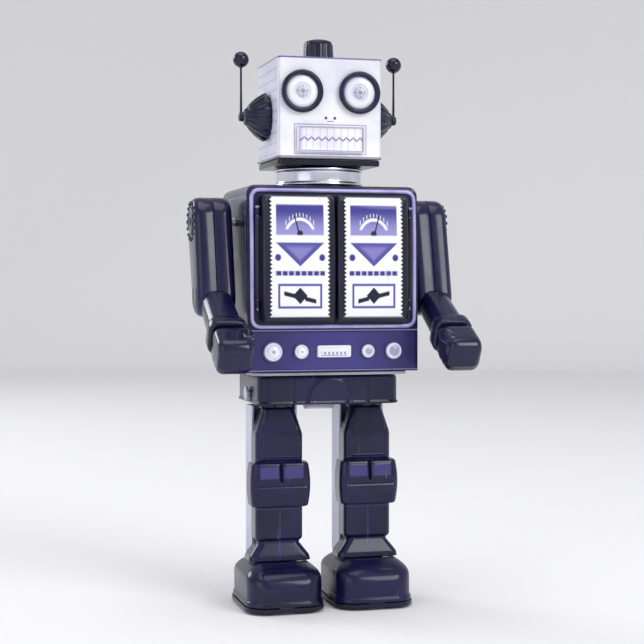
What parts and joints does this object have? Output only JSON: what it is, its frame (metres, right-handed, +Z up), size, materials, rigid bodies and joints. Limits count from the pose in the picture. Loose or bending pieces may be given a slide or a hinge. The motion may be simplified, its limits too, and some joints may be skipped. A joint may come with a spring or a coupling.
{
  "type": "wind-up tin robot",
  "caption": "Wind-up walking tin robot with a square head, antennae, hinged chest doors over a clockwork motor, swinging arms and legs, and roller shoes.",
  "frame": {"origin": "centre of the bounding box's foot, on the floor the robot stands on", "axes": "+Z up, -Y the way the robot faces, +X towards its left hand"},
  "size_m": [0.1118, 0.0998, 0.2402],
  "materials": {
    "navy_tin": "lithographed navy tinplate, glossy",
    "ink_tin": "near-black blue lithographed tinplate",
    "white_tin": "white lithographed tinplate",
    "silver_tin": "pale silver painted tinplate",
    "bright_metal": "bright plated",
    "steel": "bare pressed steel",
    "brass": "stamped brass",
    "blue_plastic": "glossy moulded plastic",
    "lamp_white": "glossy white plastic"
  },
  "bodies": {
    "torso": {"torso_shell": "navy_tin", "back_cover": "navy_tin", "chest_trim": "silver_tin", "neck_collar": "bright_metal", "waist_plate": "steel", "pelvis_shell": "navy_tin", "hip_axle": "silver_tin", "belt_lamp_1": "lamp_white", "belt_lamp_2": "lamp_white", "belt_lamp_3": "lamp_white", "belt_lamp_4": "lamp_white", "belt_window": "white_tin", "right_door_pin": "steel", "left_door_pin": "steel", "motor_frame": "steel", "motor_back_plate": "steel", "mainspring": "steel"},
    "head": {"head_shell": "white_tin", "head_base": "ink_tin", "right_eye_ring": "navy_tin", "right_eye_lens": "white_tin", "left_eye_ring": "navy_tin", "left_eye_lens": "white_tin", "mouth_grille": "white_tin", "lamp_cap": "navy_tin", "right_ear_cup": "ink_tin", "left_ear_cup": "ink_tin"},
    "right_door_leaf": {"right_door": "ink_tin"},
    "right_antenna_rod": {"right_antenna": "ink_tin"},
    "right_arm": {"right_arm_shaft": "steel", "right_upper_arm": "blue_plastic", "right_forearm": "blue_plastic", "right_hand": "blue_plastic"},
    "right_leg": {"right_leg_lever": "silver_tin", "right_leg_shell": "navy_tin", "right_knee_guard": "navy_tin", "right_shoe": "navy_tin", "right_sole": "ink_tin"},
    "right_front_wheel": {"right_front_roller": "steel"},
    "right_rear_wheel": {"right_rear_roller": "steel"},
    "left_door_leaf": {"left_door": "ink_tin"},
    "left_antenna_rod": {"left_antenna": "ink_tin"},
    "left_arm": {"left_arm_shaft": "steel", "left_upper_arm": "blue_plastic", "left_forearm": "blue_plastic", "left_hand": "blue_plastic"},
    "left_leg": {"left_leg_lever": "silver_tin", "left_leg_shell": "navy_tin", "left_knee_guard": "navy_tin", "left_shoe": "navy_tin", "left_sole": "ink_tin"},
    "left_front_wheel": {"left_front_roller": "steel"},
    "left_rear_wheel": {"left_rear_roller": "steel"},
    "great": {"great_wheel": "brass"},
    "crank": {"crankshaft": "steel"},
    "intermediate": {"intermediate_wheel": "brass"},
    "fly": {"governor": "steel"},
    "key": {"winding_key": "silver_tin"},
    "stop": {"stop_lever": "steel"}
  },
  "joints": [
    {"name": "right_door_hinge", "type": "hinge", "parent": "torso", "child": "right_door_leaf", "pos_m": [-0.03245, -0.02017, 0.14675], "axis": [0, 0, -1], "range_deg": [0, 90]},
    {"name": "left_door_hinge", "type": "hinge", "parent": "torso", "child": "left_door_leaf", "pos_m": [0.03245, -0.02017, 0.14675], "axis": [0, 0, 1], "range_deg": [0, 90]},
    {"name": "head_turn", "type": "hinge", "parent": "torso", "child": "head", "pos_m": [0, 0.00628, 0.1856], "axis": [0, 0, 1], "range_deg": [-45, 45]},
    {"name": "right_antenna_tilt", "type": "hinge", "parent": "head", "child": "right_antenna_rod", "pos_m": [-0.0327, 0.00628, 0.2068], "axis": [1, 0, 0], "range_deg": [-75, 75]},
    {"name": "left_antenna_tilt", "type": "hinge", "parent": "head", "child": "left_antenna_rod", "pos_m": [0.0327, 0.00628, 0.2068], "axis": [1, 0, 0], "range_deg": [-75, 75]},
    {"name": "right_leg_swing", "type": "hinge", "parent": "torso", "child": "right_leg", "pos_m": [-0.0193, 0.00628, 0.09], "axis": [1, 0, 0], "range_deg": [-5, 5]},
    {"name": "left_leg_swing", "type": "hinge", "parent": "torso", "child": "left_leg", "pos_m": [0.0193, 0.00628, 0.09], "axis": [1, 0, 0], "range_deg": [-5, 5]},
    {"name": "right_arm_swing", "type": "hinge", "parent": "torso", "child": "right_arm", "pos_m": [-0.0472, 0.00628, 0.1625], "axis": [1, 0, 0], "range_deg": [-12.5, 12.5]},
    {"name": "left_arm_swing", "type": "hinge", "parent": "torso", "child": "left_arm", "pos_m": [0.0472, 0.00628, 0.1625], "axis": [1, 0, 0], "range_deg": [-12.5, 12.5]},
    {"name": "right_front_roll", "type": "hinge", "parent": "right_leg", "child": "right_front_wheel", "pos_m": [-0.0193, -0.01422, 0.00412], "axis": [1, 0, 0], "continuous": true},
    {"name": "right_rear_roll", "type": "hinge", "parent": "right_leg", "child": "right_rear_wheel", "pos_m": [-0.0193, 0.01678, 0.00412], "axis": [1, 0, 0], "continuous": true},
    {"name": "left_front_roll", "type": "hinge", "parent": "left_leg", "child": "left_front_wheel", "pos_m": [0.0193, -0.01422, 0.00412], "axis": [1, 0, 0], "continuous": true},
    {"name": "left_rear_roll", "type": "hinge", "parent": "left_leg", "child": "left_rear_wheel", "pos_m": [0.0193, 0.01678, 0.00412], "axis": [1, 0, 0], "continuous": true},
    {"name": "governor_spin", "type": "hinge", "parent": "torso", "child": "fly", "pos_m": [0, 0.00628, 0.148], "axis": [0, 1, 0], "continuous": true},
    {"name": "great_wheel_spin", "type": "hinge", "parent": "torso", "child": "great", "pos_m": [0, 0.01128, 0.122], "axis": [0, 1, 0], "continuous": true},
    {"name": "crank_spin", "type": "hinge", "parent": "torso", "child": "crank", "pos_m": [0, 0.00628, 0.122], "axis": [1, 0, 0], "continuous": true},
    {"name": "intermediate_spin", "type": "hinge", "parent": "torso", "child": "intermediate", "pos_m": [0, 0.00628, 0.13685], "axis": [0, 1, 0], "continuous": true},
    {"name": "key_turn", "type": "hinge", "parent": "torso", "child": "key", "pos_m": [0, 0.03128, 0.122], "axis": [0, 1, 0], "continuous": true},
    {"name": "stop_slide", "type": "slide", "parent": "torso", "child": "stop", "axis": [1, 0, 0], "range_m": [0, 0.005]}
  ],
  "couplings": [
    {"joint": "left_leg_swing", "follows": "right_leg_swing", "ratio": -1},
    {"joint": "right_arm_swing", "follows": "right_leg_swing", "ratio": -2.5},
    {"joint": "left_arm_swing", "follows": "right_leg_swing", "ratio": 2.5},
    {"joint": "great_wheel_spin", "follows": "governor_spin", "ratio": 0.05},
    {"joint": "crank_spin", "follows": "governor_spin", "ratio": -0.15},
    {"joint": "intermediate_spin", "follows": "governor_spin", "ratio": -0.22222}
  ]
}
